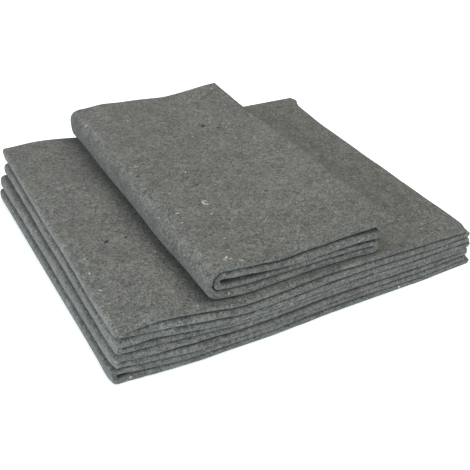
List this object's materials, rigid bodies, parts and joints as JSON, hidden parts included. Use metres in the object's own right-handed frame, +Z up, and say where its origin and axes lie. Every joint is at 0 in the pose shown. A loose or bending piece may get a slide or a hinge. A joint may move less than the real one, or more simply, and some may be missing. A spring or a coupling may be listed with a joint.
{
  "type": "stack of moving blankets",
  "caption": "Neat pile of folded grey felt moving blankets, with a narrower folded blanket lying on top, used to wrap and cushion furniture.",
  "frame": {"origin": "middle of the stack's bounding box, at the underside of the bottom blanket where it lies on the floor", "axes": "+Z up; +X along the pile's front from the folded left side to the free right side; +Y from the front folds to the back"},
  "size_m": [0.7289, 0.6591, 0.1743],
  "materials": {
    "felt": "matte needled felt of mixed recycled fibre"
  },
  "bodies": {
    "root": {"blanket_1_bottom": "felt", "blanket_2": "felt", "blanket_3": "felt", "blanket_4": "felt", "blanket_5_top": "felt"}
  },
  "joints": []
}
